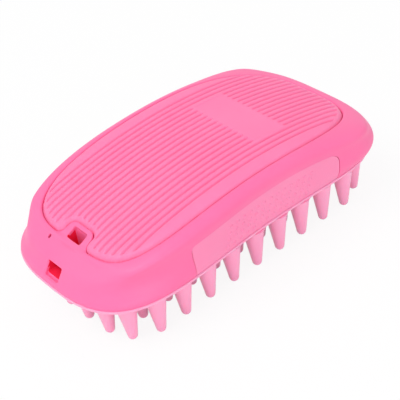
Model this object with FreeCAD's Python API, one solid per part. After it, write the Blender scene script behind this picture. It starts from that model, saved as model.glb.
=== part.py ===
import FreeCAD
import Part
import math
import os

# A palm brush for washing pets: a hollow rigid casing that fills the hand, a soft ribbed pad let
# into its top, a soft dotted grip let into each side, and a soft pad of cone teeth underneath,
# held by a plate and four screws. Its frame: +X to the rear, -X to the lanyard end, +Y to the
# left, +Z up, the origin under the middle of its length and width, and the tips of the teeth at
# z = 0. Sizes are in millimetres.

# Plan outline of the casing at its lower edge
rim_centre = -6.1
rim_front = 61.0
rim_rear = 69.0
rim_half_width = 33.4
rim_front_power = 2.9
rim_rear_power = 5.0
rim_taper = 0.11
rim_waist = 0.25

# Plan outline of the valley round the palm pad
valley_centre = 2.6
valley_front = 58.1
valley_rear = 58.6
valley_half_width = 31.5
valley_front_power = 4.3
valley_rear_power = 3.4
valley_drop_middle = 0.7
valley_drop_ends = 1.5

# Crown of the palm pad: two arcs along the brush that meet level at the peak
crown_peak_x = 5.4
crown_peak_z = 40.4
crown_radius_front = 217.0
crown_radius_rear = 185.0

# Casing
shell_wall = 2.6
floor_thickness = 2.2
lip_width = 1.6
recess_step = 0.4

# Palm pad and its ribs
pad_thickness = 3.4
pad_side_gap = 0.15
pad_bed_gap = 0.05
shoulder_width = 4.6
edge_fall = 1.0
rib_pitch = 2.74
groove_radius = 0.75
grooves_each_side = 9
groove_end_margin = 1.5
plaque_centre_x = 23.0
plaque_length_x = 14.2
plaque_width_y = 33.7
plaque_sink = 0.1
plaque_land = 0.6

# Lanyard passage: an upright shaft and a level run that meet inside the nose, and the sloping
# collar round the shaft, into which the lip of the casing dips at the nose
passage_width = 7.4
shaft_front_x = -54.1
shaft_rear_x = -50.7
run_floor_z = 20.6
run_roof_z = 24.8
passage_wall = 2.4
collar_side_margin = 3.1
collar_rear_margin = 2.2
collar_corner = 3.0
collar_foot_x = -57.8
collar_foot_z = 28.3
collar_slope = 0.486
nose_half_width = 9.9
vent_x = -57.7
vent_y = 9.7
vent_radius = 0.55

# Side grips
grip_front_x = -30.6
grip_rear_x = 38.4
grip_below_crown = 7.0
grip_thickness = 1.3
grip_gap = 0.12
grip_front_corner = 2.0
grip_rear_corner = 5.0

# Tooth pad
tooth_length = 17.0
tooth_root_radius = 4.0
tooth_tip_radius = 1.8
flange_thickness = 1.2
flange_proud = 0.3
flange_round = 0.55
plug_thickness = 1.6
plug_gap = 0.25
tooth_first_x = -45.1
tooth_pitch_x = 11.26
tooth_columns = 9
tooth_row_y = 9.9
tooth_inner_rows = 2
tooth_side_y = 29.8
end_teeth_front = [(-54.0, 25.2), (-57.4, 16.7), (-58.0, 5.4)]
end_teeth_rear = [(54.7, 25.6), (57.4, 16.7), (58.0, 5.5)]

# Backing plate and its ribs
plate_thickness = 2.2
plate_gap = 0.4
plate_rib_height = 2.5
plate_rib_width = 1.6
plate_rib_y = 9.0
plate_rib_end = 30.0

# Screws and the bosses that they pull together
screw_front_x = -36.0
screw_rear_x = 34.0
screw_y = 16.0
screw_shank_radius = 1.45
screw_hole_radius = 1.55
screw_head_radius = 2.8
screw_head_height = 1.9
screw_length = 8.0
screw_drive_width = 0.8
screw_drive_depth = 1.1
head_recess_depth = 2.6
head_recess_gap = 0.25
clamp_thickness = 1.8
boss_radius = 4.2
boss_gap = 0.1

# Worked out from the values above
rim_z = tooth_length + flange_thickness
plate_bottom_z = rim_z + plug_thickness
plate_top_z = plate_bottom_z + plate_thickness
passage_half = passage_width / 2
block_half = passage_half + passage_wall
collar_half = passage_half + collar_side_margin
collar_rear_x = shaft_rear_x + collar_rear_margin
sky_z = crown_peak_z + 15.0
reach = rim_front + rim_rear

# Cross-section of the casing wall, ring by ring from the lower edge to the valley: height as a
# share of the way up, blend from the rim outline to the valley outline, and how far the ring
# stands outside that blend at the front, front corner, side, rear corner and rear.
wall_rings = [
    (0.00, 0.00, (-0.1, -0.1, -0.1, -0.1, -0.1)),
    (0.06, 0.00, (0.0, 0.0, 0.3, 0.9, 1.1)),
    (0.34, 0.15, (-0.5, -1.3, 1.1, 4.0, 4.6)),
    (0.68, 0.40, (-0.6, -0.2, 2.3, 5.0, 4.3)),
    (0.90, 0.75, (-0.8, 2.3, 3.2, 5.9, 3.3)),
    (1.00, 1.00, (0.0, 0.0, 0.0, 0.0, 0.0)),
]
ring_stations = (-1.0, -0.72, 0.0, 0.72, 1.0)
ring_points = 44
outline_samples = 720


def crown_z(x, depth=0.0):
    """Height of the crown at x, or of the like surface that lies depth below it."""
    radius = crown_radius_front if x < crown_peak_x else crown_radius_rear
    centre_z = crown_peak_z - radius
    return centre_z + math.sqrt((radius - depth) ** 2 - (x - crown_peak_x) ** 2)


def power(value, exponent):
    """A signed power, for the superellipse."""
    return math.copysign(abs(value) ** exponent, value)


def outline(centre, front, rear, half, front_power, rear_power, taper=0.0, waist=0.0):
    """Points of a superellipse, evenly spaced along its length, each with its angle's cosine."""
    dense = []
    for i in range(outline_samples + 1):
        angle = 2 * math.pi * i / outline_samples
        c = math.cos(angle)
        s = math.sin(angle)
        reach_x = front if c < 0 else rear
        n = front_power if c < 0 else rear_power
        x = reach_x * power(c, 2 / n)
        share = 2 * x / (front + rear)
        y = half * power(s, 2 / n) * (1 - taper * share + waist * share * share)
        dense.append((centre + x, y, c))
    lengths = [0.0]
    for a, b in zip(dense[:-1], dense[1:]):
        lengths.append(lengths[-1] + math.hypot(b[0] - a[0], b[1] - a[1]))
    points = []
    k = 0
    for i in range(ring_points):
        target = lengths[-1] * i / ring_points
        while lengths[k + 1] < target:
            k += 1
        t = (target - lengths[k]) / (lengths[k + 1] - lengths[k])
        points.append(tuple(a + (b - a) * t for a, b in zip(dense[k], dense[k + 1])))
    return points


rim_outline = outline(rim_centre, rim_front, rim_rear, rim_half_width, rim_front_power,
                      rim_rear_power, rim_taper, rim_waist)
valley_outline = outline(valley_centre, valley_front, valley_rear, valley_half_width,
                         valley_front_power, valley_rear_power)


def valley_drop(x):
    """How far the valley lies below the crown at x."""
    share = (x - valley_centre) / valley_front
    return valley_drop_middle + (valley_drop_ends - valley_drop_middle) * min(share * share, 1.0)


def collar_z(x):
    """Height at x of the plane that cuts the collar off."""
    return collar_foot_z + collar_slope * (x - collar_foot_x)


def lip_z(x, y):
    """Height of the casing's lip beside the valley: under the crown, and on the collar's plane at
    the middle of the nose."""
    z = crown_z(x, valley_drop(x))
    if x > valley_centre:
        return z
    share = min(abs(y) / nose_half_width, 1.0)
    return z + (1 - share * share) ** 2 * (collar_z(x) - z)


def around(values, c):
    """A value at the angle whose cosine is c, eased between those given at the stations."""
    i = 0
    while i < len(ring_stations) - 2 and c > ring_stations[i + 1]:
        i += 1
    t = (c - ring_stations[i]) / (ring_stations[i + 1] - ring_stations[i])
    t = min(max(t, 0.0), 1.0)
    t = t * t * (3 - 2 * t)
    return values[i] + (values[i + 1] - values[i]) * t


def offset(points, distances):
    """Plan points moved outwards by a distance each, square to the line through them."""
    moved = []
    count = len(points)
    for i, (x, y) in enumerate(points):
        before = points[i - 1]
        after = points[(i + 1) % count]
        dx = after[0] - before[0]
        dy = after[1] - before[1]
        length = math.hypot(dx, dy)
        moved.append((x + dy / length * distances[i], y - dx / length * distances[i]))
    return moved


def plan_ring(source, inset):
    """Plan points of an outline drawn in by an inset."""
    points = [(p[0], p[1]) for p in source]
    return offset(points, [-inset] * len(points))


def wall_ring(height, blend, outsets, inset):
    """One ring of the casing wall, drawn in by an inset, as points in space."""
    mixed = []
    distances = []
    tops = []
    for a, b in zip(rim_outline, valley_outline):
        mixed.append((a[0] + (b[0] - a[0]) * blend, a[1] + (b[1] - a[1]) * blend))
        distances.append(around(outsets, a[2]) - inset)
        tops.append(crown_z(b[0], valley_drop(b[0])))
    ring = []
    for (x, y), top in zip(offset(mixed, distances), tops):
        if height == 1.0:
            top = lip_z(x, y)
        z = rim_z + height * (top - rim_z - inset / 2)
        ring.append(FreeCAD.Vector(x, y, z))
    return ring


def flat(points, z):
    """Plan points at one height."""
    return [FreeCAD.Vector(p[0], p[1], z) for p in points]


def loop(points):
    """A smooth closed wire through points."""
    curve = Part.BSplineCurve()
    curve.interpolate(Points=points, PeriodicFlag=True)
    return Part.Wire(curve.toShape())


def closed_solid(faces):
    """A solid from faces that meet edge to edge, turned so that its volume is positive."""
    shell = Part.makeShell(faces)
    shell.sewShape()
    solid = Part.makeSolid(shell)
    if solid.Volume < 0:
        solid.reverse()
    return solid


def stacked_solid(rings, bottom_z, top_z):
    """A solid with a smooth side through rings, and straight walls to a flat bottom and top."""
    wires = [loop(ring) for ring in rings]
    faces = list(Part.makeLoft(wires, False, False).Faces)
    low = rings[0]
    if bottom_z is not None:
        low = flat([(p.x, p.y) for p in rings[0]], bottom_z)
        faces += Part.makeLoft([loop(low), wires[0]], False, True).Faces
    high = flat([(p.x, p.y) for p in rings[-1]], top_z)
    faces += Part.makeLoft([wires[-1], loop(high)], False, True).Faces
    faces.append(Part.Face(loop(low)))
    faces.append(Part.Face(loop(high)))
    return closed_solid(faces)


def prism(points, bottom_z, top_z):
    """An upright prism on a smooth plan outline."""
    face = Part.Face(loop(flat(points, bottom_z)))
    return face.extrude(FreeCAD.Vector(0, 0, top_z - bottom_z))


def below_crown(depth):
    """Everything under the surface that lies depth below the crown."""
    front = FreeCAD.Vector(-reach, -reach, crown_z(-reach, depth))
    rear = FreeCAD.Vector(reach, -reach, crown_z(reach, depth))
    peak = FreeCAD.Vector(crown_peak_x, -reach, crown_peak_z - depth)
    front_x = (crown_peak_x - reach) / 2
    rear_x = (crown_peak_x + reach) / 2
    front_mid = FreeCAD.Vector(front_x, -reach, crown_z(front_x, depth))
    rear_mid = FreeCAD.Vector(rear_x, -reach, crown_z(rear_x, depth))
    low_rear = FreeCAD.Vector(reach, -reach, -reach)
    low_front = FreeCAD.Vector(-reach, -reach, -reach)
    edges = [
        Part.Arc(front, front_mid, peak).toShape(),
        Part.Arc(peak, rear_mid, rear).toShape(),
        Part.makeLine(rear, low_rear),
        Part.makeLine(low_rear, low_front),
        Part.makeLine(low_front, front),
    ]
    return Part.Face(Part.Wire(edges)).extrude(FreeCAD.Vector(0, 2 * reach, 0))


def block(low, high):
    """A box between two corners."""
    size = [b - a for a, b in zip(low, high)]
    return Part.makeBox(size[0], size[1], size[2], FreeCAD.Vector(*low))


def outer_body(inset):
    """The casing's outer form drawn in by an inset, solid, with its top open to the sky."""
    rings = [wall_ring(height, blend, outsets, inset) for height, blend, outsets in wall_rings]
    lip = plan_ring(valley_outline, lip_width + inset)
    rings.append([FreeCAD.Vector(x, y, lip_z(x, y) - inset / 2) for x, y in lip])
    bottom_z = None if inset == 0 else rim_z - shell_wall
    return stacked_solid(rings, bottom_z, sky_z)


def collar_plan(shrink, front_x):
    """Plan face of the collar round the lanyard hole, which flares out to the front."""
    half = collar_half - shrink
    rear = collar_rear_x - shrink
    corner = collar_corner
    edge_x = valley_centre - valley_front + recess_step
    flare = corner + shrink
    upper = [
        (rear, 0.0),
        (rear, half - corner),
        (rear - corner, half),
        (edge_x + flare, half),
        (edge_x, half + flare),
        (front_x, half + flare),
    ]
    lower = [(x, -y) for x, y in reversed(upper[1:])]
    points = [FreeCAD.Vector(x, y, 0) for x, y in upper + lower]
    diagonal = math.sqrt(0.5)
    rear_arc = (rear - corner * (1 - diagonal), half - corner * (1 - diagonal))
    flare_arc = (edge_x + flare * (1 - diagonal), half + flare * (1 - diagonal))
    bulges = {1: rear_arc, 3: flare_arc, 7: (flare_arc[0], -flare_arc[1]),
              9: (rear_arc[0], -rear_arc[1])}
    edges = []
    for i, start in enumerate(points):
        end = points[(i + 1) % len(points)]
        if i in bulges:
            middle = FreeCAD.Vector(bulges[i][0], bulges[i][1], 0)
            edges.append(Part.Arc(start, middle, end).toShape())
        else:
            edges.append(Part.makeLine(start, end))
    return Part.Face(Part.Wire(edges))


def collar_solid():
    """The raised collar of the casing: its plan, cut off by a plane that runs into the nose."""
    front_x = valley_centre - valley_front - lip_width
    side = [
        FreeCAD.Vector(front_x, -reach, collar_z(front_x)),
        FreeCAD.Vector(collar_rear_x, -reach, collar_z(collar_rear_x)),
        FreeCAD.Vector(collar_rear_x, -reach, rim_z),
        FreeCAD.Vector(front_x, -reach, rim_z),
    ]
    wedge = Part.Face(Part.makePolygon(side + side[:1])).extrude(FreeCAD.Vector(0, 2 * reach, 0))
    column = collar_plan(pad_side_gap, front_x).extrude(FreeCAD.Vector(0, 0, sky_z))
    return column.common(wedge)


def screw_places():
    """Name and place of each screw."""
    places = []
    for end, x in (("front", screw_front_x), ("rear", screw_rear_x)):
        for side, sign in (("left", 1), ("right", -1)):
            places.append((end + "_" + side, x, sign * screw_y))
    return places


def head_seat_z(x):
    """Height of the shoulder that a screw's head bears on."""
    return crown_z(x, pad_thickness) - head_recess_depth


def upright(radius, x, y, bottom_z, top_z):
    """An upright cylinder."""
    return Part.makeCylinder(radius, top_z - bottom_z, FreeCAD.Vector(x, y, bottom_z))


def grip_window(side, gap):
    """Everything beside one side wall that lies inside the grip's edge, grown by a gap."""
    steps = 6
    front = grip_front_x - gap
    rear = grip_rear_x + gap
    drop = grip_below_crown - gap
    low = 0.0
    top = []
    for i in range(steps + 1):
        x = front + grip_front_corner + (rear - grip_rear_corner - front - grip_front_corner) * i / steps
        top.append(FreeCAD.Vector(x, 0, crown_z(x, drop)))
    curve = Part.BSplineCurve()
    curve.interpolate(Points=top)
    front_z = crown_z(front, drop) - grip_front_corner
    rear_z = crown_z(rear, drop) - grip_rear_corner
    bend = 1 - math.sqrt(0.5)
    front_side = FreeCAD.Vector(front, 0, front_z)
    front_bend = FreeCAD.Vector(front + grip_front_corner * bend, 0, top[0].z - grip_front_corner * bend)
    rear_side = FreeCAD.Vector(rear, 0, rear_z)
    rear_bend = FreeCAD.Vector(rear - grip_rear_corner * bend, 0, top[-1].z - grip_rear_corner * bend)
    low_front = FreeCAD.Vector(front, 0, low)
    low_rear = FreeCAD.Vector(rear, 0, low)
    edges = [
        Part.makeLine(low_front, front_side),
        Part.Arc(front_side, front_bend, top[0]).toShape(),
        curve.toShape(),
        Part.Arc(top[-1], rear_bend, rear_side).toShape(),
        Part.makeLine(rear_side, low_rear),
        Part.makeLine(low_rear, low_front),
    ]
    return Part.Face(Part.Wire(edges)).extrude(FreeCAD.Vector(0, side * reach, 0))


def make_shell(outer, grip_core):
    """The casing: outer form, bed for the pad, hollow inside, passage, bosses and grip beds."""
    bed = prism(plan_ring(valley_outline, recess_step), rim_z, sky_z + 1)
    bed = bed.cut(below_crown(pad_thickness)).cut(collar_solid())
    shell = outer.cut(bed)

    rings = [wall_ring(height, blend, outsets, shell_wall) for height, blend, outsets in wall_rings[:5]]
    hollow = stacked_solid(rings, rim_z - shell_wall, sky_z)
    hollow = hollow.common(below_crown(pad_thickness + floor_thickness))
    nose = block((-reach, -block_half, run_floor_z - passage_wall + 0.4),
                 (shaft_rear_x + passage_wall, block_half, sky_z))
    hollow = hollow.cut(nose)
    for name, x, y in screw_places():
        seat_z = head_seat_z(x)
        hollow = hollow.cut(upright(boss_radius, x, y, seat_z - clamp_thickness, sky_z))
    shell = shell.cut(hollow)

    shaft = block((shaft_front_x, -passage_half, run_floor_z), (shaft_rear_x, passage_half, sky_z))
    run = block((-reach, -passage_half, run_floor_z), (shaft_rear_x, passage_half, run_roof_z))
    shell = shell.cut(shaft).cut(run)
    shell = shell.cut(upright(vent_radius, vent_x, vent_y, rim_z, sky_z))

    for name, x, y in screw_places():
        seat_z = head_seat_z(x)
        shell = shell.cut(upright(screw_hole_radius, x, y, rim_z, sky_z))
        shell = shell.cut(upright(screw_head_radius + head_recess_gap, x, y, seat_z, sky_z))
    for side in (1, -1):
        shell = shell.cut(grip_window(side, grip_gap).cut(grip_core))
    return shell


def make_grip(outer, grip_core, side):
    """One side grip: the outer skin of the casing inside the grip's edge."""
    return outer.common(grip_window(side, 0.0)).cut(grip_core)


def shoulder_rings():
    """Rings of the palm pad's rounded edge and shoulder, up on to the crown: share of the
    shoulder's width in, share of the valley's drop, and share of the edge's own fall."""
    edge = recess_step + pad_side_gap
    steps = ((0.0, 1.0, 1.0), (0.06, 0.85, 0.4), (0.16, 0.6, 0.1), (0.4, 0.26, 0.0),
             (0.75, 0.06, 0.0), (1.0, 0.0, 0.0), (1.5, -0.12, 0.0))
    rings = []
    for share, drop, fall in steps:
        ring = []
        for x, y in plan_ring(valley_outline, edge + share * shoulder_width):
            z = crown_z(x, drop * valley_drop(x) + fall * edge_fall)
            ring.append(FreeCAD.Vector(x, y, z))
        rings.append(ring)
    return rings


def groove_cutter():
    """All the grooves between the ribs, stopped short of the pad's edge and of the plaque."""
    field = prism(plan_ring(valley_outline, recess_step + pad_side_gap + groove_end_margin), rim_z, sky_z)
    field = field.cut(collar_plan(-groove_end_margin, -reach).extrude(FreeCAD.Vector(0, 0, sky_z)))
    half_x = plaque_length_x / 2 + plaque_land
    half_y = plaque_width_y / 2 + plaque_land
    field = field.cut(block((plaque_centre_x - half_x, -half_y, rim_z),
                            (plaque_centre_x + half_x, half_y, sky_z)))
    rods = []
    for k in range(-grooves_each_side, grooves_each_side + 1):
        y = k * rib_pitch
        peak = FreeCAD.Vector(crown_peak_x, y, crown_peak_z)
        circle = Part.Wire(Part.makeCircle(groove_radius, peak, FreeCAD.Vector(1, 0, 0)))
        face = Part.Face(circle)
        for radius, turn in ((crown_radius_front, -20), (crown_radius_rear, 22)):
            centre = FreeCAD.Vector(crown_peak_x, y, crown_peak_z - radius)
            rods.append(face.revolve(centre, FreeCAD.Vector(0, 1, 0), turn))
    return [rod.common(field) for rod in rods]


def above_plaque():
    """What lies over the plaque, down to a flat face a hair below the ribs, with sides that
    stand square to that face."""
    front_x = plaque_centre_x - plaque_length_x / 2
    rear_x = plaque_centre_x + plaque_length_x / 2
    y = -plaque_width_y / 2
    front = FreeCAD.Vector(front_x, y, crown_z(front_x) - plaque_sink)
    rear = FreeCAD.Vector(rear_x, y, crown_z(rear_x) - plaque_sink)
    along = (rear - front).normalize()
    rise = FreeCAD.Vector(-along.z, 0, along.x) * (sky_z - crown_peak_z)
    side = [front, rear, rear + rise, front + rise, front]
    face = Part.Face(Part.makePolygon(side))
    return face.extrude(FreeCAD.Vector(0, plaque_width_y, 0))


def make_palm_pad():
    """The soft pad: ribs along it, a smooth plaque, and a notch round the lanyard hole."""
    rings = shoulder_rings()
    pad = stacked_solid(rings, rim_z, sky_z)
    pad = pad.common(below_crown(0.0)).cut(below_crown(pad_thickness - pad_bed_gap))
    pad = pad.cut(collar_plan(0.0, -reach).extrude(FreeCAD.Vector(0, 0, sky_z)))
    pad = pad.cut(above_plaque())
    return pad.cut(Part.makeCompound(groove_cutter()))


def tooth(x, y):
    """One cone tooth with a round tip, its root on the underside of the pad."""
    drop = tooth_length - tooth_tip_radius
    span = math.hypot(drop, tooth_root_radius)
    lean = math.atan2(tooth_root_radius, drop) - math.asin(tooth_tip_radius / span)
    touch_r = tooth_tip_radius * math.cos(lean)
    touch_z = tooth_tip_radius * (1 - math.sin(lean))
    half = (math.pi / 2 - lean) / 2
    mid = FreeCAD.Vector(tooth_tip_radius * math.sin(half), 0, tooth_tip_radius * (1 - math.cos(half)))
    tip = FreeCAD.Vector(0, 0, 0)
    side = FreeCAD.Vector(touch_r, 0, touch_z)
    root = FreeCAD.Vector(tooth_root_radius, 0, tooth_length)
    top = FreeCAD.Vector(0, 0, tooth_length)
    edges = [
        Part.Arc(tip, mid, side).toShape(),
        Part.makeLine(side, root),
        Part.makeLine(root, top),
        Part.makeLine(top, tip),
    ]
    profile = Part.Face(Part.Wire(edges))
    solid = profile.revolve(FreeCAD.Vector(0, 0, 0), FreeCAD.Vector(0, 0, 1), 360)
    solid.translate(FreeCAD.Vector(x, y, 0))
    return solid


def tooth_places():
    """Plan places of the teeth: even rows in the middle and a ring round the edge."""
    rows = [k * tooth_row_y for k in range(-tooth_inner_rows, tooth_inner_rows + 1)]
    rows += [-tooth_side_y, tooth_side_y]
    places = []
    for column in range(tooth_columns):
        for y in rows:
            places.append((tooth_first_x + column * tooth_pitch_x, y))
    for x, y in end_teeth_front + end_teeth_rear:
        places += [(x, y), (x, -y)]
    return places


def nose_clearance(bottom_z, gap):
    """The room that the nose's block of the casing needs in what lies below it."""
    return block((-reach, -block_half - gap, bottom_z),
                 (shaft_rear_x + passage_wall + gap, block_half + gap, sky_z))


def make_tooth_pad():
    """The soft tooth pad: a round-edged flange under the rim, a plug inside it, and the teeth."""
    steps = ((flange_round, 0.0), (flange_round * 0.15, 0.2), (0.0, 0.5), (flange_round * 0.15, 0.8))
    rings = []
    for inset, share in steps:
        z = tooth_length + share * flange_thickness
        rings.append(flat(plan_ring(rim_outline, inset - flange_proud), z))
    flange = stacked_solid(rings, None, rim_z)
    plug = prism(plan_ring(rim_outline, shell_wall + plug_gap), rim_z, plate_bottom_z)
    plug = plug.cut(nose_clearance(rim_z, plug_gap))
    base = flange.fuse(plug).removeSplitter()
    return Part.makeCompound([base] + [tooth(x, y) for x, y in tooth_places()])


def make_backing_plate():
    """The rigid plate behind the tooth pad, with ribs and a boss for each screw."""
    plate = prism(plan_ring(rim_outline, shell_wall + plate_gap), plate_bottom_z, plate_top_z)
    plate = plate.cut(nose_clearance(plate_bottom_z - 1, plate_gap))
    for sign in (1, -1):
        rib = block((-plate_rib_end, sign * plate_rib_y - plate_rib_width / 2, plate_bottom_z),
                    (plate_rib_end, sign * plate_rib_y + plate_rib_width / 2,
                     plate_top_z + plate_rib_height))
        plate = plate.fuse(rib)
    for name, x, y in screw_places():
        top_z = head_seat_z(x) - clamp_thickness - boss_gap
        plate = plate.fuse(upright(boss_radius, x, y, plate_bottom_z, top_z))
    for name, x, y in screw_places():
        tip_z = head_seat_z(x) - screw_length - boss_gap
        plate = plate.cut(upright(screw_hole_radius, x, y, tip_z, sky_z))
    return plate.removeSplitter()


def make_screw(x, y):
    """One pan-head screw with a cross in its head."""
    seat_z = head_seat_z(x)
    head_top = seat_z + screw_head_height
    head = upright(screw_head_radius, x, y, seat_z, head_top)
    shank = upright(screw_shank_radius, x, y, seat_z - screw_length, seat_z)
    screw = head.fuse(shank)
    arm = screw_head_radius * 0.6
    half = screw_drive_width / 2
    low = head_top - screw_drive_depth
    along = block((x - arm, y - half, low), (x + arm, y + half, sky_z))
    across = block((x - half, y - arm, low), (x + half, y + arm, sky_z))
    return screw.cut(along.fuse(across))


def save(shape, name):
    """Write one node, and print its volume in cubic centimetres."""
    solids = shape.Solids
    good = all(s.isValid() and s.Volume > 0 for s in solids)
    volume = sum(s.Volume for s in solids) / 1000
    print(name, len(solids), "solids, valid", good, "volume", round(volume, 3))
    whole = solids[0] if len(solids) == 1 else Part.makeCompound(solids)
    whole.exportStep("parts/" + name + ".step")


os.makedirs("parts", exist_ok=True)
outer = outer_body(0.0)
grip_core = outer_body(grip_thickness)
save(make_shell(outer, grip_core), "body_shell")
save(make_palm_pad(), "palm_pad")
save(make_grip(outer, grip_core, 1), "side_grip_left")
save(make_grip(outer, grip_core, -1), "side_grip_right")
save(make_tooth_pad(), "tooth_pad")
save(make_backing_plate(), "backing_plate")
for name, x, y in screw_places():
    save(make_screw(x, y), "screw_" + name)
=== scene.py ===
import math
import bpy
import bmesh
import numpy as np
from mathutils import Matrix


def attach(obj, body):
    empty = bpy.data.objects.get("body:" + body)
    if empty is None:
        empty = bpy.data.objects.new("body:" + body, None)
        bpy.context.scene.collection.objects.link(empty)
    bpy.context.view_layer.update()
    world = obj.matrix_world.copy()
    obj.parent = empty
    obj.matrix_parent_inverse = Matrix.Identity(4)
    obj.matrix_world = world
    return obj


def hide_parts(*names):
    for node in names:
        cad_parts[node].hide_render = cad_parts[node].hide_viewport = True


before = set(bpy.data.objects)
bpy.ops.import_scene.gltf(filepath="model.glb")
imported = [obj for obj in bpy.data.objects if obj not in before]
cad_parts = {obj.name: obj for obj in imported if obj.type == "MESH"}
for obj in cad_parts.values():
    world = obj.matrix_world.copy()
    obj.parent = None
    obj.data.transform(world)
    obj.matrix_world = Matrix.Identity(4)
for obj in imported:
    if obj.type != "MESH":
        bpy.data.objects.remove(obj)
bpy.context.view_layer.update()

# Casing
# The rigid body that fills the palm: one hollow ABS moulding with a satin mould finish. It has a
# bed in its top for the palm pad, a collar round the upper lanyard hole, the lanyard passage
# through its nose, a small air hole, and a pocket in each side for a grip.
mm = 0.001
rim_z = 18.2
crown_peak_x, crown_peak_z = 5.4, 40.4
crown_front, crown_rear = 217.0, 185.0
rim_shape = dict(centre=-6.1, front=61.0, rear=69.0, half=33.4,
                 front_power=2.9, rear_power=5.0, taper=0.11, waist=0.25)
valley_shape = dict(centre=2.6, front=58.1, rear=58.6, half=31.5,
                    front_power=4.3, rear_power=3.4, taper=0.0, waist=0.0)
valley_drops = (0.7, 1.5)
ring_heights = np.array([0.0, 0.06, 0.34, 0.68, 0.90, 1.0])
ring_blends = np.array([0.0, 0.0, 0.15, 0.40, 0.75, 1.0])
ring_outsets = np.array([(-0.1, -0.1, -0.1, -0.1, -0.1),
                         (0.0, 0.0, 0.3, 0.9, 1.1),
                         (-0.5, -1.3, 1.1, 4.0, 4.6),
                         (-0.6, -0.2, 2.3, 5.0, 4.3),
                         (-0.8, 2.3, 3.2, 5.9, 3.3),
                         (0.5, 0.5, 0.5, 0.5, 0.5)])
outset_stations = np.array([-1.0, -0.72, 0.0, 0.72, 1.0])
wall = 2.6
bed_inset, bed_depth, floor_depth = 0.4, 3.4, 5.6
pad_gap = 0.15
passage_half, passage_low, passage_high = 3.7, 20.6, 24.8
shaft_front, shaft_rear = -54.1, -50.7
collar_half, collar_rear, collar_round = 6.8, -48.5, 3.0
collar_line = ((-57.8, 28.3), (-48.5, 32.82))
block_half, block_rear = 6.1, -48.3
window_half = 9.9


def superellipse(angle, centre, front, rear, half, front_power, rear_power, taper, waist):
    """Plan outline: x goes with cos^(2/n) and y with sin^(2/n), with a reach and a power n of its
    own for the front and the rear; y is then scaled by 1 - taper u + waist u^2 along the length."""
    c, s = np.cos(angle), np.sin(angle)
    n = np.where(c < 0, front_power, rear_power)
    x = np.where(c < 0, front, rear) * np.sign(c) * np.abs(c) ** (2 / n)
    y = half * np.sign(s) * np.abs(s) ** (2 / n)
    u = 2 * x / (front + rear)
    return centre + x, y * (1 - taper * u + waist * u * u), c


def along(shape, share):
    """The outline's x, y and angle cosine at shares of its length, from the middle of the rear."""
    x, y, c = superellipse(np.linspace(0, 2 * np.pi, 28801), **shape)
    run = np.concatenate([[0], np.cumsum(np.hypot(np.diff(x), np.diff(y)))])
    return np.array([np.interp(share, run / run[-1], v) for v in (x, y, c)]), run[-1]


def pushed(x, y, distance):
    """Closed plan points moved outwards, square to the chord between their neighbours."""
    dx, dy = np.roll(x, -1) - np.roll(x, 1), np.roll(y, -1) - np.roll(y, 1)
    length = np.hypot(dx, dy)
    return x + dy / length * distance, y - dx / length * distance


def crown(x, depth=0.0):
    """The crown: two arcs along the brush, level where they meet at the peak, flat across."""
    radius = np.where(x < crown_peak_x, crown_front, crown_rear)
    return crown_peak_z - radius + np.sqrt((radius - depth) ** 2 - (x - crown_peak_x) ** 2)


def valley_drop(x):
    """How far the valley round the pad lies under the crown: least in the middle."""
    u = (x - valley_shape["centre"]) / valley_shape["front"]
    return valley_drops[0] + (valley_drops[1] - valley_drops[0]) * np.minimum(u * u, 1)


def ease(t):
    """Smooth step: 3 t^2 - 2 t^3 between 0 and 1."""
    t = np.clip(t, 0, 1)
    return t * t * (3 - 2 * t)


def outset_round(values, c):
    """A value for each angle cosine, eased between the five stations round the outline."""
    i = np.clip(np.searchsorted(outset_stations, c) - 1, 0, 3)
    t = (c - outset_stations[i]) / (outset_stations[i + 1] - outset_stations[i])
    return values[i] + (values[i + 1] - values[i]) * ease(t)


def spline(knots, values, t):
    """Natural cubic spline through values at knots, read at t: second slopes from one solve."""
    h = np.diff(knots)
    count = len(knots)
    system = np.eye(count)
    right = np.zeros(values.shape)
    slope = np.diff(values, axis=0) / h.reshape(-1, *[1] * (values.ndim - 1))
    for i in range(1, count - 1):
        system[i, i - 1:i + 2] = h[i - 1], 2 * (h[i - 1] + h[i]), h[i]
        right[i] = 6 * (slope[i] - slope[i - 1])
    bend = np.linalg.solve(system, right.reshape(count, -1)).reshape(values.shape)
    i = np.clip(np.searchsorted(knots, t) - 1, 0, count - 2)
    shape = (-1, *[1] * (values.ndim - 1))
    step = h[i].reshape(shape)
    a = ((knots[i + 1] - t) / h[i]).reshape(shape)
    b = 1 - a
    return (a * values[i] + b * values[i + 1]
            + ((a ** 3 - a) * bend[i] + (b ** 3 - b) * bend[i + 1]) * step * step / 6)


def along_path(points, share):
    """A polyline's points at shares of its length."""
    points = np.array(points, float)
    run = np.concatenate([[0], np.cumsum(np.hypot(*np.diff(points, axis=0).T))])
    return np.array([np.interp(share * run[-1], run, points[:, k]) for k in (0, 1)])


def arc(centre, radius, start, end):
    """Plan points of an arc, angles in degrees."""
    a = np.radians(np.linspace(start, end, 17))
    return list(zip(centre[0] + radius * np.cos(a), centre[1] + radius * np.sin(a)))


def collar_path(share, edge_x, shrink):
    """Half of the line round the collar, from where it leaves the valley to the middle plane."""
    half, rear, flare = collar_half - shrink, collar_rear - shrink, collar_round + shrink
    points = arc((edge_x + flare, half + flare), flare, 180, 270)
    points += arc((rear - collar_round, half - collar_round), collar_round, 90, 0)
    points.append((rear, 0.0))
    return along_path(points, share)


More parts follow.
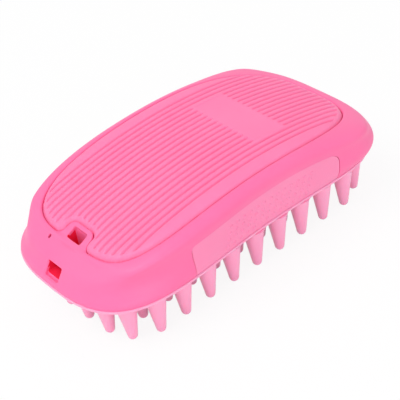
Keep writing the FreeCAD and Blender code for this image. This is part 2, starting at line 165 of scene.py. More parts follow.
_, valley_length = along(valley_shape, np.array([0.0]))
window = window_half / valley_length
side_share = np.linspace(0, 0.5 - window, 250, endpoint=False)
nose_share = np.linspace(0.5 - window, 0.5, 56)
half_share = np.concatenate([side_share, nose_share])
share = np.concatenate([half_share, 1 - half_share[-2:0:-1]])
in_window = np.abs(share - 0.5) <= window + 1e-9
window_run = 1 - np.abs(share[in_window] - 0.5) / window
window_side = np.where(share[in_window] <= 0.5, 1.0, -1.0)
rim_line, _ = along(rim_shape, share)
valley_line, _ = along(valley_shape, share)


def wall_ring(height, blend, outsets, inset=0.0):
    """One ring of the wall: the rim and valley outlines mixed, pushed out, and set at its height."""
    x = rim_line[0] + (valley_line[0] - rim_line[0]) * blend
    y = rim_line[1] + (valley_line[1] - rim_line[1]) * blend
    x, y = pushed(x, y, outset_round(outsets, rim_line[2]) - inset)
    top = crown(valley_line[0]) - valley_drop(valley_line[0])
    return np.stack([x, y, rim_z + height * (top - rim_z - inset / 2)], axis=-1)


def bed_ring(shrink, inset):
    """The line round the palm pad's bed: the valley outline drawn in, and turned in at the nose
    to pass round the collar."""
    x, y = pushed(valley_line[0], valley_line[1], -inset)
    edge_x = x[in_window][0]
    px, py = collar_path(window_run, edge_x, shrink)
    x[in_window], y[in_window] = px, py * window_side
    return x, y


def fan(x, y, height, shares):
    """Rings that shrink to the middle of the brush, on a surface whose height goes with x."""
    middle = valley_shape["centre"]
    rings = []
    for s in shares:
        rx = middle + (x - middle) * s
        rings.append(np.stack([rx, y * s, height(rx)], axis=-1))
    return rings


def skin(name, rings, first=None, last=None):
    """A closed mesh from rings of points, each end closed by a point, or left for a loop if both
    ends are None. Columns run round the brush and rows along the profile."""
    grid = np.array(rings)
    rows, columns = grid.shape[:2]
    points = grid.reshape(-1, 3)
    index = np.arange(rows * columns).reshape(rows, columns)
    turned = np.roll(index, -1, axis=1)
    quads = np.stack([index[:-1], turned[:-1], turned[1:], index[1:]], axis=-1).reshape(-1, 4)
    faces = quads.tolist()
    if first is not None:
        points = np.vstack([points, first])
        tip = np.full(columns, len(points) - 1)
        faces += np.stack([tip, turned[0], index[0]], axis=-1).tolist()
    if last is not None:
        points = np.vstack([points, last])
        tip = np.full(columns, len(points) - 1)
        faces += np.stack([index[-1], turned[-1], tip], axis=-1).tolist()
    return solid(name, points, faces)


def solid(name, points, faces):
    """An object from points in millimetres, with its faces turned outwards."""
    mesh = bpy.data.meshes.new(name)
    mesh.from_pydata((np.asarray(points) * mm).tolist(), [], faces)
    work = bmesh.new()
    work.from_mesh(mesh)
    bmesh.ops.recalc_face_normals(work, faces=work.faces)
    work.to_mesh(mesh)
    work.free()
    obj = bpy.data.objects.new(name, mesh)
    bpy.context.scene.collection.objects.link(obj)
    return obj


def joined(obj, other, how):
    """obj becomes its boolean with other, and other is thrown away."""
    step = obj.modifiers.new("cut", "BOOLEAN")
    step.operation = how
    step.solver = "EXACT"
    step.object = other
    bpy.context.view_layer.update()
    made = bpy.data.meshes.new_from_object(obj.evaluated_get(bpy.context.evaluated_depsgraph_get()))
    made.name = obj.name
    obj.modifiers.clear()
    obj.data = made
    bpy.data.objects.remove(other)


def smooth(obj, degrees):
    """Smooth shading, with edges sharper than the angle left crisp."""
    mesh = obj.data
    mesh.polygons.foreach_set("use_smooth", np.ones(len(mesh.polygons), bool))
    mesh.set_sharp_from_angle(angle=math.radians(degrees))


def collar_height(x):
    """Height of the collar's flat top, which runs up from the nose."""
    (x0, z0), (x1, z1) = collar_line
    return z0 + (z1 - z0) * (x - x0) / (x1 - x0)


rings = [wall_ring(*values) for values in zip(ring_heights, ring_blends, ring_outsets)]
lip_x, lip_y = pushed(valley_line[0], valley_line[1], -1.6)
lip_z = crown(lip_x) - valley_drop(lip_x)
nose_rise = np.zeros(len(share))
nose_rise[in_window] = (1 - (1 - window_run) ** 2) ** 2
rings[5][:, 2] += nose_rise * (collar_height(rings[5][:, 0]) - rings[5][:, 2])
knots = np.array(rings + [np.stack([lip_x, lip_y, lip_z], axis=-1)])
chord = np.linalg.norm(np.diff(knots, axis=0), axis=-1).mean(axis=1)
chord = np.concatenate([[0], np.cumsum(chord)])
wall_steps = np.concatenate([np.linspace(chord[0], chord[1], 4, endpoint=False),
                             np.linspace(chord[1], chord[5], 44)])
outer = spline(chord, knots, wall_steps)

bed_x, bed_y = bed_ring(pad_gap, bed_inset)
edge = outer[-1]
reach = np.hypot(bed_x - edge[:, 0], bed_y - edge[:, 1])


def lip(distance, fall):
    """A ring of the lip, at a distance from the bed's wall, and fallen below the lip's own height."""
    t = 1 - np.minimum(distance / reach, 1)
    x = edge[:, 0] + (bed_x - edge[:, 0]) * t
    y = edge[:, 1] + (bed_y - edge[:, 1]) * t
    rise = ease(np.hypot(x - edge[:, 0], y - edge[:, 1]) / 2.5) * in_window
    z = edge[:, 2] + rise * (collar_height(x) - edge[:, 2]) - fall
    return np.stack([x, y, z], axis=-1)


lip_round = 0.7
turn = np.radians([90, 67, 45, 22, 0])
lips = [lip(reach * s + lip_round * (1 - s), 0.0) for s in (0.8, 0.6, 0.4, 0.2)]
lips += [lip(lip_round * (1 - math.cos(a)), lip_round * (1 - math.sin(a))) for a in turn]
bed_low = crown(bed_x, bed_depth)
bed_wall = [np.stack([bed_x, bed_y, lips[-1][:, 2] + (bed_low - lips[-1][:, 2]) * t], axis=-1)
            for t in (0.5, 1.0)]
bed_floor = fan(bed_x, bed_y, lambda x: crown(x, bed_depth), (0.8, 0.5, 0.2))
inner = [wall_ring(ring_heights[k], ring_blends[k], ring_outsets[k], wall) for k in range(5)]
for ring in inner:
    start = ring[in_window][0]
    px, py = along_path([start[:2], (start[0], block_half), (block_rear, block_half),
                         (block_rear, 0)], window_run)
    ring[in_window, 0], ring[in_window, 1] = px, py * window_side
    ring[:, 2] = np.minimum(ring[:, 2], crown(ring[:, 0], floor_depth))
inner[0][:, 2] = rim_z
ceiling = fan(inner[-1][:, 0], inner[-1][:, 1], lambda x: crown(x, floor_depth), (0.8, 0.5, 0.2))
middle = valley_shape["centre"]
profile = bed_floor[::-1] + bed_wall[::-1] + lips[::-1] + list(outer[::-1]) + inner + ceiling
casing = skin("casing", profile, (middle, 0, crown(middle, bed_depth)),
              (middle, 0, crown(middle, floor_depth)))


def rounded(half_u, half_v, corner, count=6):
    """A rectangle with round corners, centred, as points (u, v)."""
    a = np.linspace(0, np.pi / 2, count)
    points = []
    for k, (su, sv) in enumerate(((1, 1), (-1, 1), (-1, -1), (1, -1))):
        turned = a + k * np.pi / 2
        points.append(np.stack([su * (half_u - corner) + corner * np.cos(turned),
                                sv * (half_v - corner) + corner * np.sin(turned)], axis=-1))
    return np.concatenate(points)


def mouth(centre, across, up, half_u, half_v, corner, depth, rise):
    """A cutter for a hole: a tube with round corners that flares like a trumpet at the surface,
    where its lip has the radius rise. Across and up span its mouth."""
    across, up = np.array(across, float), np.array(up, float)
    out = np.cross(across, up)
    levels = [(-depth, 0.0)]
    for s in (0, 0.3, 0.55, 0.75, 0.9, 0.98):
        levels.append((-rise * (1 - s), rise * (1 - math.sqrt(1 - s * s))))
    levels += [(0.02, rise * 1.05), (4.0, rise * 1.05)]
    rings = []
    for level, grow in levels:
        uv = rounded(half_u + grow, half_v + grow, corner + grow)
        rings.append(np.array(centre) + uv[:, :1] * across + uv[:, 1:] * up + out * level)
    tip_low = np.array(centre) - out * depth
    tip_high = np.array(centre) + out * 4.0
    return skin("mouth", rings, tip_low, tip_high)


shaft_middle = (shaft_front + shaft_rear) / 2
shaft_half = (shaft_rear - shaft_front) / 2
run_middle = (passage_low + passage_high) / 2
run_half = (passage_high - passage_low) / 2


def passage():
    """The lanyard passage: a level run from the nose and an upright shaft that meets it, as one
    bent tube with a round-cornered section, mitred at the bend."""
    uv = rounded(passage_half, run_half, 0.5)
    front = np.stack([np.full(len(uv), -80.0), uv[:, 0], run_middle + uv[:, 1]], axis=-1)
    bend = np.stack([shaft_middle - uv[:, 1], uv[:, 0], run_middle + uv[:, 1]], axis=-1)
    top = np.stack([shaft_middle - uv[:, 1], uv[:, 0], np.full(len(uv), 45.0)], axis=-1)
    return skin("passage", [front, bend, top], (-80.0, 0, run_middle), (shaft_middle, 0, 45.0))


joined(casing, passage(), "DIFFERENCE")
lean = math.atan2(collar_line[1][1] - collar_line[0][1], collar_line[1][0] - collar_line[0][0])
top_place = (shaft_middle, 0, collar_height(shaft_middle))
joined(casing, mouth(top_place, (math.cos(lean), 0, math.sin(lean)), (0, 1, 0),
                     shaft_half / math.cos(lean), passage_half, 0.5, 1.2, 0.45), "DIFFERENCE")
nose_line = outer[:, np.argmin(np.abs(share - 0.5))]
nose_x = np.interp(run_middle, nose_line[:, 2], nose_line[:, 0])
nose_ends = np.interp([passage_low, passage_high], nose_line[:, 2], nose_line[:, 0])
face_lean = math.atan2(nose_ends[1] - nose_ends[0], passage_high - passage_low)
joined(casing, mouth((nose_x, 0, run_middle), (0, -1, 0), (math.sin(face_lean), 0, math.cos(face_lean)),
                     passage_half, run_half / math.cos(face_lean), 0.5, 1.2, 0.45), "DIFFERENCE")
vent_z = np.interp(-57.7, nose_line[:, 0], nose_line[:, 2])
joined(casing, mouth((-57.7, 9.7, vent_z - 0.1), (0.84, 0, 0.54), (0, 1, 0), 0.75, 0.55, 0.45, 4.0, 0.2),
       "DIFFERENCE")


def srgb(code):
    """A hex colour in sRGB, made linear."""
    value = np.array([int(code[i:i + 2], 16) for i in (1, 3, 5)]) / 255
    value = np.where(value <= 0.04045, value / 12.92, ((value + 0.055) / 1.055) ** 2.4)
    return (*value, 1.0)


def add(material, kind, settings=None, **inputs):
    """Adds a node: settings are its own properties, and inputs its sockets, by name with _ for a
    space, each a value or the output of a node that is there already."""
    made = material.node_tree.nodes.new(kind)
    for key, value in (settings or {}).items():
        setattr(made, key, value)
    for key, value in inputs.items():
        numbered = key[0] == "n" and key[1:].isdigit()
        socket = made.inputs[int(key[1:]) if numbered else key.replace("_", " ")]
        if isinstance(value, bpy.types.NodeSocket):
            material.node_tree.links.new(value, socket)
        else:
            socket.default_value = value
    return made


def moulded(name, deep, pale, rough, grain_mm, grain_depth_mm, soft, skin_mm):
    """A moulded plastic or rubber. The colour drifts between two close tones over some 30 mm, as
    pigment does in a moulding; the mould's fine grain shows as bump; the roughness drifts a
    little with handling; and light goes a little way in."""
    material = bpy.data.materials.new(name)
    material.use_nodes = True
    material.node_tree.nodes.clear()
    place = add(material, "ShaderNodeTexCoord").outputs["Object"]
    drift = add(material, "ShaderNodeTexNoise", Vector=place, Scale=1 / 0.030, Detail=3.0).outputs["Fac"]
    tone = add(material, "ShaderNodeMix", {"data_type": "RGBA"}, Factor=drift)
    tone.inputs[6].default_value = srgb(deep)
    tone.inputs[7].default_value = srgb(pale)
    wear = add(material, "ShaderNodeTexNoise", Vector=place, Scale=1 / 0.012, Detail=4.0).outputs["Fac"]
    gloss = add(material, "ShaderNodeMapRange", Value=wear, To_Min=rough - 0.05, To_Max=rough + 0.05)
    grain = add(material, "ShaderNodeTexNoise", Vector=place, Scale=1000 / grain_mm, Detail=2.0).outputs["Fac"]
    bump = add(material, "ShaderNodeBump", Height=grain, Strength=0.6, Distance=grain_depth_mm * mm)
    shader = add(material, "ShaderNodeBsdfPrincipled", Base_Color=tone.outputs[2],
                 Roughness=gloss.outputs["Result"], Normal=bump.outputs["Normal"],
                 IOR=1.46, Subsurface_Weight=soft, Subsurface_Scale=skin_mm * mm,
                 Subsurface_Radius=(1.0, 0.35, 0.45))
    add(material, "ShaderNodeOutputMaterial", Surface=shader.outputs["BSDF"])
    return material


# Moulded ABS, spark-eroded mould: satin, with a fine grain that takes the edge off highlights.
# Deep in the passage the same plastic is given a darker, saturated red as painted shade, in place of the light that
# reaches it through the walls and bounces round inside.
passage_shade_abs = moulded("passage_painted_shade_abs", "#f0003c", "#f61048", 0.7, 0.35, 0.012, 0.0, 1.0)
casing_abs = moulded("satin_moulded_abs", "#fa69a1", "#fe76ab", 0.46, 0.35, 0.012, 0.12, 1.5)

# Side grips
# Soft silicone skins let into the side walls for thumb and fingers, one on each side. Their
# middle carries staggered rows of small raised dots, moulded with the skin.
grip_front, grip_rear, grip_drop = -30.6, 38.4, 7.0
grip_rounds = (2.0, 5.0)
grip_thick, grip_gap = 1.3, 0.12
grip_columns, grip_rows = 420, 90


def wall_places(side, x, z):
    """Points of the wall's outer surface at x and z: y read along each ring, then up the rings."""
    half = np.where(outer[0, :, 1] * side > 0)[0]
    half = half[np.argsort(outer[24, half, 0])]
    y_at = np.array([np.interp(x, row[half, 0], row[half, 1]) for row in outer])
    z_at = np.array([np.interp(x, row[half, 0], row[half, 2]) for row in outer])
    below = np.clip((z_at[:, None, :] <= z.T[None]).sum(axis=0) - 1, 0, len(outer) - 2)
    columns = np.arange(len(x))[None]
    z0, z1 = z_at[below, columns], z_at[below + 1, columns]
    y0, y1 = y_at[below, columns], y_at[below + 1, columns]
    t = np.clip((z.T - z0) / (z1 - z0), 0, 1)
    return (y0 + (y1 - y0) * t).T


def grip_patch(side, grow):
    """The wall's surface inside the grip's edge, as a grid: columns run along the brush and crowd
    at its round corners, and rows run from the rim up to an edge that follows the crown. Also the
    normals there, and each point's distance in from the edge."""
    front, rear = grip_front - grow, grip_rear + grow
    t = np.linspace(0, 1, grip_columns)
    t = t - 0.10 * np.sin(2 * np.pi * t) / (2 * np.pi) * 5
    x = front + (rear - front) * t
    r0, r1 = grip_rounds[0] + grow, grip_rounds[1] + grow
    top = crown(np.clip(x, front + r0, rear - r1)) - grip_drop + grow
    dip0, dip1 = np.clip(front + r0 - x, 0, r0), np.clip(x - rear + r1, 0, r1)
    top = top - (r0 - np.sqrt(r0 * r0 - dip0 ** 2)) - (r1 - np.sqrt(r1 * r1 - dip1 ** 2))
    low = rim_z + 0.05
    z = low + (top - low)[:, None] * np.linspace(0, 1, grip_rows)[None]
    y = wall_places(side, x, z)
    points = np.stack([np.broadcast_to(x[:, None], z.shape), y, z], axis=-1)
    du, dv = np.gradient(points, axis=0), np.gradient(points, axis=1)
    normal = np.cross(du, dv) * -side
    normal /= np.linalg.norm(normal, axis=-1, keepdims=True)
    inside = np.minimum((top[:, None] - z), np.minimum(x - front, rear - x)[:, None])
    return points, normal, inside


def slab(name, outside, inside):
    """A closed mesh between two grids of the same size."""
    rows, columns = outside.shape[:2]
    points = np.concatenate([outside.reshape(-1, 3), inside.reshape(-1, 3)])
    index = np.arange(rows * columns).reshape(rows, columns)
    face = np.stack([index[:-1, :-1], index[1:, :-1], index[1:, 1:], index[:-1, 1:]], axis=-1)
    face = face.reshape(-1, 4)
    rim = np.concatenate([index[:-1, 0], index[-1, :-1], index[:0:-1, -1], index[0, :0:-1]])
    after = np.roll(rim, -1)
    under = rows * columns
    side = np.stack([rim, rim + under, after + under, after], axis=-1)
    faces = face.tolist() + (face[:, ::-1] + under).tolist() + side.tolist()
    return solid(name, points, faces)


for side, hand in ((1, "left"), (-1, "right")):
    points, normal, inside = grip_patch(side, grip_gap)
    low = points.copy()
    low[:, 0, 2] -= 3.0
    pocket = slab("pocket", low[::3, ::3] + normal[::3, ::3] * 2.0, low[::3, ::3] - normal[::3, ::3] * grip_thick)
    joined(casing, pocket, "DIFFERENCE")

dot_pitch_x, dot_pitch_z, dot_lean, dot_rise, dot_width = 3.2, 2.55, 0.32, 0.5, 1.5
dot_rows, dot_low, dot_front, dot_rear = 4, 21.0, -15.5, 24.5


def dot_field(x, z):
    """Height of the dots: domes on a lattice whose columns lean to the front, sqrt(1 - r^2) with a
    soft foot."""
    row = np.clip(np.round((z - dot_low) / dot_pitch_z), 0, dot_rows - 1)
    first = dot_front + row * dot_pitch_z * dot_lean
    count = np.floor((dot_rear - dot_front) / dot_pitch_x)
    column = np.clip(np.round((x - first) / dot_pitch_x), 0, count)
    r = np.hypot(x - first - column * dot_pitch_x, z - dot_low - row * dot_pitch_z) / (dot_width / 2)
    return dot_rise * ease(1.15 * (1 - r)) ** 0.6


# Silicone rubber, moulded: matt and slightly translucent, a shade paler than the casing.
grip_silicone = moulded("matt_grip_silicone", "#fb84b1", "#ff92bb", 0.55, 0.22, 0.010, 0.2, 2.0)

for side, hand in ((1, "left"), (-1, "right")):
    points, normal, inside = grip_patch(side, -0.1)
    round_off = 0.4
    fall = round_off * (1 - np.sqrt(1 - (1 - np.clip(inside / round_off, 0, 1)) ** 2))
    lift = dot_field(points[..., 0], points[..., 2]) - fall - 0.02
    grip = slab("grip_" + hand, points + normal * lift[..., None], points - normal * (grip_thick - 0.08))
    smooth(grip, 60)
    grip.data.materials.append(grip_silicone)
    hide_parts("side_grip_" + hand)
    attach(grip, "root")

smooth(casing, 40)
casing.data.materials.append(casing_abs)
casing.data.materials.append(passage_shade_abs)
face_count = len(casing.data.polygons)
centres = np.empty(face_count * 3)
casing.data.polygons.foreach_get("center", centres)
cx, cy, cz = centres.reshape(-1, 3).T / mm
# Faces deep inside the lanyard passage take the second material: painted shade, a darker saturated red in place of
# the light scattered in there.
in_tube = (np.abs(cy) < passage_half + 0.05) & (cx < shaft_rear + 0.05) & (cz > passage_low - 0.05)
in_run = in_tube & (cz < passage_high + 0.05) & (cx > nose_x + 0.6)
in_shaft = in_tube & (cx > shaft_front - 0.05) & (cz < collar_height(shaft_middle) - 0.9)
casing.data.polygons.foreach_set("material_index", (in_run | in_shaft).astype(np.int32))
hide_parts("body_shell")
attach(casing, "root")

# Palm pad
# A soft silicone pad let into the casing's bed: 19 grooves along it, a rounded shoulder, a bare
# plaque across the ribs and a notch round the lanyard hole. It is moulded alone and glued in.
pad_inset = bed_inset + pad_gap
pad_under = 3.35
shoulder = 4.6
rib_pitch, groove_count = 2.74, 9
groove_half, groove_depth = 0.75, 0.85
groove_margin = 1.3
plaque_x, plaque_half_x, plaque_half_y, plaque_sink = 23.0, 7.1, 16.85, 0.1
edge_round = 1.1


def edge_distance(x, y):
    """Distance in from the pad's edge: the superellipse's gauge over its slope, joined smoothly
    to the distance from the collar's round-ended strip."""
    shape = valley_shape
    ahead = x < shape["centre"]
    a = np.where(ahead, shape["front"], shape["rear"]) - pad_inset
    b = shape["half"] - pad_inset
    n = np.where(ahead, shape["front_power"], shape["rear_power"])
    u, v = np.abs(x - shape["centre"]) / a + 1e-9, np.abs(y) / b + 1e-9
    gauge = (u ** n + v ** n) ** (1 / n)
    slope = np.hypot((u / gauge) ** (n - 1) / a, (v / gauge) ** (n - 1) / b)
    edge = (1 - gauge) / slope
    qx = x - (collar_rear - collar_round)
    qy = np.abs(y) - (collar_half - collar_round)
    strip = np.hypot(np.maximum(qx, 0), np.maximum(qy, 0)) + np.minimum(np.maximum(qx, qy), 0) - collar_round
    k = 3.0
    blend = np.clip(0.5 + 0.5 * (strip - edge) / k, 0, 1)
    return strip + (edge - strip) * blend - k * blend * (1 - blend)


def pad_height(x, y):
    """The pad's top: the crown, less the shoulder's fall towards the edge, less the rounding of
    the edge itself, less the grooves, which fade out near the edge and stop at the plaque."""
    d = edge_distance(x, y)
    share = np.clip(d / shoulder, 0, 1)
    fall = np.interp(share, (0, 0.06, 0.12, 0.25, 0.4, 0.58, 0.75, 0.88, 1.0),
                     (1.0, 0.80, 0.62, 0.42, 0.26, 0.14, 0.06, 0.015, 0.0))
    z = crown(x) - fall * valley_drop(x)
    rounding = np.clip(1 - d / edge_round, 0, 1.0)
    z = z - edge_round * (1 - np.sqrt(1 - np.minimum(rounding, 0.999) ** 2))
    line = np.clip(np.round(y / rib_pitch), -groove_count, groove_count) * rib_pitch
    across = np.clip(np.abs(y - line) / groove_half, 0, 1)
    out_x = np.abs(x - plaque_x) - plaque_half_x
    out_y = np.abs(y) - plaque_half_y
    off_plaque = np.maximum(out_x, out_y)
    depth = groove_depth * 0.5 * (1 + np.cos(np.pi * across))
    depth = depth * ease((d - groove_margin) / 0.9) * ease((off_plaque - 0.3) / 0.35)
    x0, x1 = plaque_x - plaque_half_x, plaque_x + plaque_half_x
    plane = crown(x0) + (crown(x1) - crown(x0)) * (x - x0) / (x1 - x0) - plaque_sink
    return np.where(off_plaque < 0, z + (plane - z) * ease(-off_plaque / 0.3), z - depth)


def pad_block():
    """The pad's top over a rectangle, closed by a skirt and a flat underside. Lines across the
    ribs crowd in each groove."""
    offsets = np.array([-1.0, -0.8, -0.6, -0.42, -0.25, -0.08, 0.08, 0.25, 0.42, 0.6, 0.8, 1.0])
    lines = np.arange(-groove_count, groove_count + 1)[:, None] * rib_pitch + offsets * groove_half
    past = lines.max() + np.linspace(0.3, 7.5, 24)
    y = np.concatenate([-past[::-1], lines.ravel(), past])
    x = np.linspace(-56.5, 63.5, 300)
    gx, gy = np.meshgrid(x, y, indexing="ij")
    grid = np.stack([gx, gy, pad_height(gx, gy)], axis=-1)
    rows, columns = grid.shape[:2]
    index = np.arange(rows * columns).reshape(rows, columns)
    face = np.stack([index[:-1, :-1], index[1:, :-1], index[1:, 1:], index[:-1, 1:]], axis=-1)
    rim = np.concatenate([index[:-1, 0], index[-1, :-1], index[:0:-1, -1], index[0, :0:-1]])
    foot = grid.reshape(-1, 3)[rim].copy()
    foot[:, 2] = 10.0
    low = rows * columns + np.arange(len(rim))
    side = np.stack([rim, low, np.roll(low, -1), np.roll(rim, -1)], axis=-1)
    points = np.concatenate([grid.reshape(-1, 3), foot])
    faces = face.reshape(-1, 4).tolist() + side.tolist() + [low.tolist()]
    return solid("palm_pad_top", points, faces)


pad_x, pad_y = bed_ring(0.0, pad_inset)
pad_floor = fan(pad_x, pad_y, lambda x: crown(x, pad_under), (0.3, 0.7, 1.0))
pad_walls = [np.stack([pad_x, pad_y, np.full(len(pad_x), z)], axis=-1) for z in (46.0, 50.0)]
pad_form = skin("pad_form", pad_floor + pad_walls, (middle, 0, crown(middle, pad_under)), (middle, 0, 50.0))
pad = pad_block()
pad.name = "pad"
joined(pad, pad_form, "INTERSECT")
smooth(pad, 50)
# Silicone rubber, moulded: a soft sheen and some depth of colour.
pad_silicone = moulded("matt_pad_silicone", "#fa76a9", "#fe83b2", 0.52, 0.25, 0.010, 0.2, 2.0)
pad.data.materials.append(pad_silicone)
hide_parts("palm_pad")
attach(pad, "root")

# Tooth pad
# The working side: a silicone sheet with 75 round-tipped cone teeth moulded on it. Its flange
# closes the casing's lower edge and shows there as a thin pale bead; a step fits inside the wall.
tooth_length, tooth_root, tooth_tip = 17.0, 4.0, 1.8
flange_inset, flange_round = -0.3, 0.6
plug_inset, plug_top = 2.85, 19.8
first_x, pitch_x, columns_x = -45.1, 11.26, 9
rows_y = (-29.8, -19.8, -9.9, 0.0, 9.9, 19.8, 29.8)
ring_teeth = [(-54.0, 25.2), (-57.4, 16.7), (-58.0, 5.4), (54.7, 25.6), (57.4, 16.7), (58.0, 5.5)]


def rim_ring(inset, z):
    """The rim outline drawn in, at one height."""
    x, y = pushed(rim_line[0], rim_line[1], -inset)
    return np.stack([x, y, np.full(len(x), z)], axis=-1)


def plug_ring(z):
    """The step inside the wall, kept clear of the nose's solid block."""
    ring = rim_ring(plug_inset, z)
    start = ring[in_window][0]
    px, py = along_path([start[:2], (start[0], block_half + 0.25), (block_rear + 0.25, block_half + 0.25),
                         (block_rear + 0.25, 0)], window_run)
    ring[in_window, 0], ring[in_window, 1] = px, py * window_side
    return ring


def shrink(ring, share):
    """A ring drawn towards the middle."""
    made = ring.copy()
    made[:, 0] = middle + (ring[:, 0] - middle) * share
    made[:, 1] *= share
    return made


under_ring = rim_ring(flange_inset + flange_round, tooth_length)
flange = [shrink(under_ring, s) for s in (0.3, 0.7, 0.97)] + [under_ring]
for a in np.radians([22, 45, 67, 90]):
    flange.append(rim_ring(flange_inset + flange_round * (1 - math.sin(a)),
                           tooth_length + flange_round * (1 - math.cos(a))))
flange.append(rim_ring(flange_inset, rim_z - 0.15))
flange.append(rim_ring(flange_inset + 0.3, rim_z))
flange += [plug_ring(rim_z), plug_ring(plug_top)]
flange += [shrink(plug_ring(plug_top), s) for s in (0.7, 0.3)]
sheet_mesh = skin("teeth", flange, (middle, 0, tooth_length), (middle, 0, plug_top))


def tooth_profile():
    """Radius against height: a round tip, a straight cone tangent to it, and a fillet that flares
    into the sheet."""
    drop = tooth_length - tooth_tip
    lean = math.atan2(tooth_root, drop) - math.asin(tooth_tip / math.hypot(tooth_root, drop))
    a = np.linspace(0.22, np.pi / 2 - lean, 6)
    tip = np.stack([tooth_tip * np.sin(a), tooth_tip * (1 - np.cos(a))], axis=-1)
    z = np.array([5.0, 9.0, 13.0, 15.5])
    cone = np.stack([tip[-1, 0] + (z - tip[-1, 1]) * math.tan(lean), z], axis=-1)
    fillet = 0.5
    b = np.radians([15, 38, 62, 90])
    foot = np.stack([tooth_root - 0.1 + fillet * (1 - np.cos(b)), tooth_length - fillet * (1 - np.sin(b))], axis=-1)
    foot[-1, 1] = tooth_length + 0.05
    return np.vstack([tip, cone, foot])


places = [(first_x + i * pitch_x, y) for i in range(columns_x) for y in rows_y]
places += [(x, y * s) for x, y in ring_teeth for s in (1, -1)]
places = np.array(places)
line = tooth_profile()
spin = np.linspace(0, 2 * np.pi, 24, endpoint=False)
one = np.stack([line[:, :1] * np.cos(spin), line[:, :1] * np.sin(spin),
                np.broadcast_to(line[:, 1:], (len(line), 24))], axis=-1)
all_teeth = one[None] + np.array([[*p, 0.0] for p in places])[:, None, None, :]
rows_t = len(line)
index = np.arange(rows_t * 24).reshape(rows_t, 24)
turned = np.roll(index, -1, axis=1)
quads = np.stack([index[:-1], turned[:-1], turned[1:], index[1:]], axis=-1).reshape(-1, 4)
tips = np.stack([np.full(24, rows_t * 24), turned[0], index[0]], axis=-1)
roots = np.stack([index[-1], turned[-1], np.full(24, rows_t * 24 + 1)], axis=-1)
size = rows_t * 24 + 2
points, faces = [], []
for k, tooth in enumerate(all_teeth):
    x, y = places[k]
    points.append(np.vstack([tooth.reshape(-1, 3), [(x, y, 0.0), (x, y, tooth_length + 0.3)]]))
    faces += (quads + k * size).tolist() + (tips + k * size).tolist() + (roots + k * size).tolist()
cones = solid("cones", np.concatenate(points), faces)
joined(sheet_mesh, cones, "UNION")
smooth(sheet_mesh, 50)
# Silicone rubber, moulded: soft, glossier than the pad, and light enough to glow at thin places.
tooth_silicone = moulded("satin_tooth_silicone", "#fd9dc3", "#ffabcd", 0.38, 0.5, 0.006, 0.35, 3.0)
sheet_mesh.data.materials.append(tooth_silicone)
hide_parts("tooth_pad")
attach(sheet_mesh, "root")

# Backing plate and screws
# Hidden inside: a ribbed natural ABS plate that holds the tooth pad's sheet, and four
# zinc-plated pan-head screws whose heads lie in the bed under the palm pad.
plate_abs = moulded("natural_abs_plate", "#e9e7df", "#f1efe8", 0.5, 0.4, 0.010, 0.05, 0.8)
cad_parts["backing_plate"].data.materials.clear()
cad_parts["backing_plate"].data.materials.append(plate_abs)


def plated(name):
    """Zinc plating on steel: pale metal with a fine mottle, rougher where the plating is thick."""
    material = bpy.data.materials.new(name)
    material.use_nodes = True
    material.node_tree.nodes.clear()
    place = add(material, "ShaderNodeTexCoord").outputs["Object"]
    mottle = add(material, "ShaderNodeTexNoise", Vector=place, Scale=1 / 0.0008, Detail=4.0).outputs["Fac"]
    tone = add(material, "ShaderNodeMix", {"data_type": "RGBA"}, Factor=mottle)
    tone.inputs[6].default_value = srgb("#b9bdc2")
    tone.inputs[7].default_value = srgb("#d3d5d8")
    gloss = add(material, "ShaderNodeMapRange", Value=mottle, To_Min=0.25, To_Max=0.42)
    shader = add(material, "ShaderNodeBsdfPrincipled", Base_Color=tone.outputs[2], Metallic=1.0,
                 Roughness=gloss.outputs["Result"])
    add(material, "ShaderNodeOutputMaterial", Surface=shader.outputs["BSDF"])
    return material


zinc = plated("zinc_plated_steel")
for end in ("front", "rear"):
    for hand in ("left", "right"):
        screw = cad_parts["screw_%s_%s" % (end, hand)]
        screw.data.materials.clear()
        screw.data.materials.append(zinc)

# Studio
# A pale floor at the tips of the teeth, soft even light from a bright room with one large lamp
# over the left shoulder, and the camera at the photograph's place.
floor_half = 1500.0
steps = np.linspace(-floor_half, floor_half, 3)
fx, fy = np.meshgrid(steps, steps, indexing="ij")
floor_points = np.stack([fx.ravel(), fy.ravel(), np.full(9, -0.02)], axis=-1)
cells = np.arange(9).reshape(3, 3)
floor_faces = np.stack([cells[:-1, :-1], cells[1:, :-1], cells[1:, 1:], cells[:-1, 1:]], axis=-1)
floor_mesh = bpy.data.meshes.new("floor")
floor_mesh.from_pydata((floor_points * mm).tolist(), [], floor_faces.reshape(-1, 4).tolist())
floor = bpy.data.objects.new("floor", floor_mesh)
bpy.context.scene.collection.objects.link(floor)
paper = bpy.data.materials.new("white_studio_paper")
paper.use_nodes = True
paper.node_tree.nodes.clear()
ray = add(paper, "ShaderNodeLightPath").outputs
seen = add(paper, "ShaderNodeMath", {"operation": "MAXIMUM"}, n0=ray["Is Camera Ray"], n1=ray["Is Glossy Ray"])
seen = add(paper, "ShaderNodeMath", {"operation": "MAXIMUM"}, n0=seen.outputs[0], n1=ray["Is Transmission Ray"])
matt = add(paper, "ShaderNodeBsdfDiffuse", Color=srgb("#f4f4f4"))
glow = add(paper, "ShaderNodeEmission", Color=(1.0, 1.0, 1.0, 1.0), Strength=1.0)
part = add(paper, "ShaderNodeMath", {"operation": "MULTIPLY"}, n0=seen.outputs[0], n1=0.9)
mixed = add(paper, "ShaderNodeMixShader", n0=part.outputs[0], n1=matt.outputs[0], n2=glow.outputs[0])
add(paper, "ShaderNodeOutputMaterial", Surface=mixed.outputs[0])
floor_mesh.materials.append(paper)

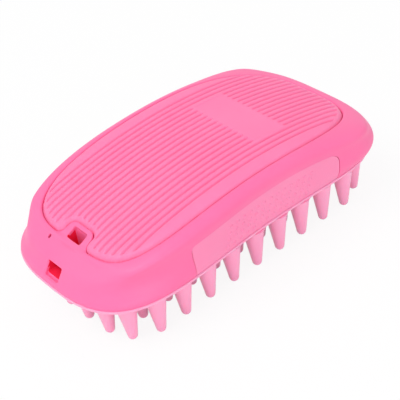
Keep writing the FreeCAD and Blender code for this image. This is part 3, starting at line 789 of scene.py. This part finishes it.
room = bpy.data.worlds.new("room")
bpy.context.scene.world = room
room.use_nodes = True
room.node_tree.nodes.clear()
ray = add(room, "ShaderNodeLightPath").outputs
seen = add(room, "ShaderNodeMath", {"operation": "MAXIMUM"}, n0=ray["Is Camera Ray"], n1=ray["Is Glossy Ray"])
seen = add(room, "ShaderNodeMath", {"operation": "MAXIMUM"}, n0=seen.outputs[0], n1=ray["Is Transmission Ray"])
fill = add(room, "ShaderNodeBackground", Color=(1.0, 0.99, 0.99, 1.0), Strength=0.75)
white = add(room, "ShaderNodeBackground", Color=(1.0, 1.0, 1.0, 1.0), Strength=1.0)
mixed = add(room, "ShaderNodeMixShader", n0=seen.outputs[0], n1=fill.outputs[0], n2=white.outputs[0])
add(room, "ShaderNodeOutputWorld", Surface=mixed.outputs[0])


def lamp(name, place, size, watts):
    """A square soft lamp in metres that faces the brush."""
    data = bpy.data.lights.new(name, "AREA")
    data.size = size
    data.energy = watts
    obj = bpy.data.objects.new(name, data)
    where = np.array(place)
    back = where / np.linalg.norm(where)
    right = np.cross((0, 0, 1), back)
    right /= np.linalg.norm(right)
    up = np.cross(back, right)
    turned = np.stack([right, up, back], axis=-1)
    obj.matrix_world = Matrix([[*row, p] for row, p in zip(turned, where)] + [[0, 0, 0, 1]])
    bpy.context.scene.collection.objects.link(obj)


lamp("key", (-0.5, 0.1, 0.9), 0.6, 4.0)
lamp("front", (-0.3, -0.9, 0.35), 0.6, 2.0)

camera = bpy.data.cameras.new("camera")
camera.sensor_width = 36.0
camera.lens = 99.042
camera.clip_start, camera.clip_end = 0.01, 10.0
eye = bpy.data.objects.new("camera", camera)
axes = np.array([(0.750207, -0.648590, -0.128536), (0.477970, 0.397640, 0.783216),
                 (-0.456875, -0.649010, 0.608319)]).T
place = np.array((-186.084, -264.904, 262.318)) * mm
eye.matrix_world = Matrix([[*row, p] for row, p in zip(axes, place)] + [[0, 0, 0, 1]])
bpy.context.scene.collection.objects.link(eye)
bpy.context.scene.camera = eye
bpy.context.scene.view_settings.view_transform = "Standard"
